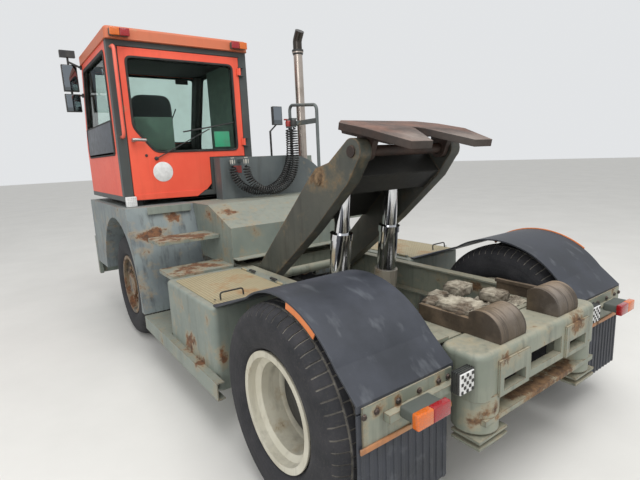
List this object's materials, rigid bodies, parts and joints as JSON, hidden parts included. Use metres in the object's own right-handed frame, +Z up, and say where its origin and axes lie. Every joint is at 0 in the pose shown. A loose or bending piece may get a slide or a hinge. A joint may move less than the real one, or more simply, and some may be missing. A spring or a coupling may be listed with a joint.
{
  "type": "terminal tractor",
  "caption": "Yard tractor with a narrow offset cab, a raised hydraulic lift boom with its coupling plate, twin rear wheels and steered front wheels.",
  "frame": {"origin": "on the ground under the middle of the machine's outer box", "axes": "+X forward, +Y to the machine's left, +Z up"},
  "size_m": [5.06, 2.78, 3.1375],
  "materials": {
    "orange_paint": "faded enamel",
    "grey_paint": "dirty enamel with rust",
    "dark_paint": "dark grey enamel",
    "black_steel": "black painted steel",
    "worn_steel": "rusty worn steel",
    "rim_paint": "cream enamel",
    "tyre_rubber": "worn",
    "guard_rubber": "matt",
    "coil_plastic": "matt",
    "chrome": "polished",
    "stack_steel": "brushed",
    "barrel_paint": "dusty enamel",
    "lamp_plastic": "clear lens",
    "black_plastic": "moulded",
    "seat_fabric": "woven",
    "glass": "clear"
  },
  "bodies": {
    "chassis": {"chassis_frame": "grey_paint", "rear_beam": "grey_paint", "guide_ramps": "worn_steel", "rear_axle": "black_steel", "front_axle": "black_steel", "powertrain": "black_steel", "front_bumper": "grey_paint", "lamps": "lamp_plastic", "front_fenders": "grey_paint", "hood": "grey_paint", "deck_steps": "grey_paint", "battery_box": "grey_paint", "right_box": "grey_paint", "rear_mudguards": "guard_rubber", "cab_floor": "dark_paint", "cab_side_walls": "orange_paint", "cab_front_wall": "orange_paint", "cab_roof": "orange_paint", "cab_rear_frame": "dark_paint", "cab_glass": "glass", "seat": "seat_fabric", "steering_console": "black_plastic", "mirrors": "black_plastic", "exhaust": "stack_steel", "coupling_stand": "grey_paint", "coil_one": "coil_plastic", "coil_two": "coil_plastic"},
    "rear_door": {"rear_door": "orange_paint", "door_glass": "glass"},
    "battery_lid": {"battery_lid": "grey_paint"},
    "right_lid": {"right_lid": "grey_paint"},
    "boom": {"boom": "grey_paint"},
    "plate_pin": {"plate_pin": "worn_steel"},
    "fifth_wheel": {"fifth_wheel": "worn_steel"},
    "lift_barrels": {"lift_barrels": "barrel_paint"},
    "lift_stages": {"lift_stages": "chrome"},
    "lift_rods": {"lift_rods": "chrome"},
    "knuckle_left": {"knuckle_left": "black_steel"},
    "knuckle_right": {"knuckle_right": "black_steel"},
    "front_wheel_left": {"front_tyre_left": "tyre_rubber", "front_rim_left": "rim_paint"},
    "front_wheel_right": {"front_tyre_right": "tyre_rubber", "front_rim_right": "rim_paint"},
    "rear_wheels_left": {"rear_tyres_left": "tyre_rubber", "rear_rims_left": "rim_paint"},
    "rear_wheels_right": {"rear_tyres_right": "tyre_rubber", "rear_rims_right": "rim_paint"}
  },
  "joints": [
    {"name": "boom_lift", "type": "hinge", "parent": "chassis", "child": "boom", "pos_m": [-0.3, 0, 0.75], "axis": [0, 1, 0], "range_deg": [-30, 0]},
    {"name": "plate_pin_turn", "type": "hinge", "parent": "boom", "child": "plate_pin", "pos_m": [-1.53, 0, 1.76], "axis": [0, 1, 0], "range_deg": [0, 30.01]},
    {"name": "plate_tilt", "type": "hinge", "parent": "plate_pin", "child": "fifth_wheel", "pos_m": [-1.53, 0, 1.76], "axis": [0, 1, 0], "range_deg": [0, 18]},
    {"name": "cylinder_foot", "type": "hinge", "parent": "chassis", "child": "lift_barrels", "pos_m": [-1.045, 0, 0.43], "axis": [0, 1, 0], "range_deg": [-29.18, 0]},
    {"name": "stage_slide", "type": "slide", "parent": "lift_barrels", "child": "lift_stages", "axis": [-0.1177, 0, 0.9931], "range_m": [-0.26018, 0]},
    {"name": "rod_slide", "type": "slide", "parent": "lift_stages", "child": "lift_rods", "axis": [-0.1177, 0, 0.9931], "range_m": [-0.15951, 0]},
    {"name": "rear_door_hinge", "type": "hinge", "parent": "chassis", "child": "rear_door", "pos_m": [0.848, -0.064, 2.2], "axis": [0, 0, 1], "range_deg": [0, 85]},
    {"name": "battery_lid_hinge", "type": "hinge", "parent": "chassis", "child": "battery_lid", "pos_m": [-0.6275, 0.619, 0.865], "axis": [1, 0, 0], "range_deg": [0, 85]},
    {"name": "right_lid_hinge", "type": "hinge", "parent": "chassis", "child": "right_lid", "pos_m": [-0.6275, -0.619, 0.865], "axis": [-1, 0, 0], "range_deg": [0, 85]},
    {"name": "steer_left", "type": "hinge", "parent": "chassis", "child": "knuckle_left", "pos_m": [1.2, 0.88, 0.53], "axis": [0, 0, 1], "range_deg": [-35, 35]},
    {"name": "front_wheel_left_spin", "type": "hinge", "parent": "knuckle_left", "child": "front_wheel_left", "pos_m": [1.2, 1.045, 0.53], "axis": [0, 1, 0], "continuous": true},
    {"name": "rear_wheels_left_spin", "type": "hinge", "parent": "chassis", "child": "rear_wheels_left", "pos_m": [-1.8, 0.93, 0.53], "axis": [0, 1, 0], "continuous": true},
    {"name": "steer_right", "type": "hinge", "parent": "chassis", "child": "knuckle_right", "pos_m": [1.2, -0.88, 0.53], "axis": [0, 0, 1], "range_deg": [-35, 35]},
    {"name": "front_wheel_right_spin", "type": "hinge", "parent": "knuckle_right", "child": "front_wheel_right", "pos_m": [1.2, -1.045, 0.53], "axis": [0, 1, 0], "continuous": true},
    {"name": "rear_wheels_right_spin", "type": "hinge", "parent": "chassis", "child": "rear_wheels_right", "pos_m": [-1.8, -0.93, 0.53], "axis": [0, 1, 0], "continuous": true}
  ],
  "couplings": [
    {"joint": "plate_pin_turn", "follows": "boom_lift", "ratio": -1},
    {"joint": "cylinder_foot", "follows": "boom_lift", "ratio": 0.92957},
    {"joint": "stage_slide", "follows": "boom_lift", "m_per_rad": 0.49672},
    {"joint": "rod_slide", "follows": "boom_lift", "m_per_rad": 0.30444},
    {"joint": "steer_right", "follows": "steer_left", "ratio": 1}
  ]
}
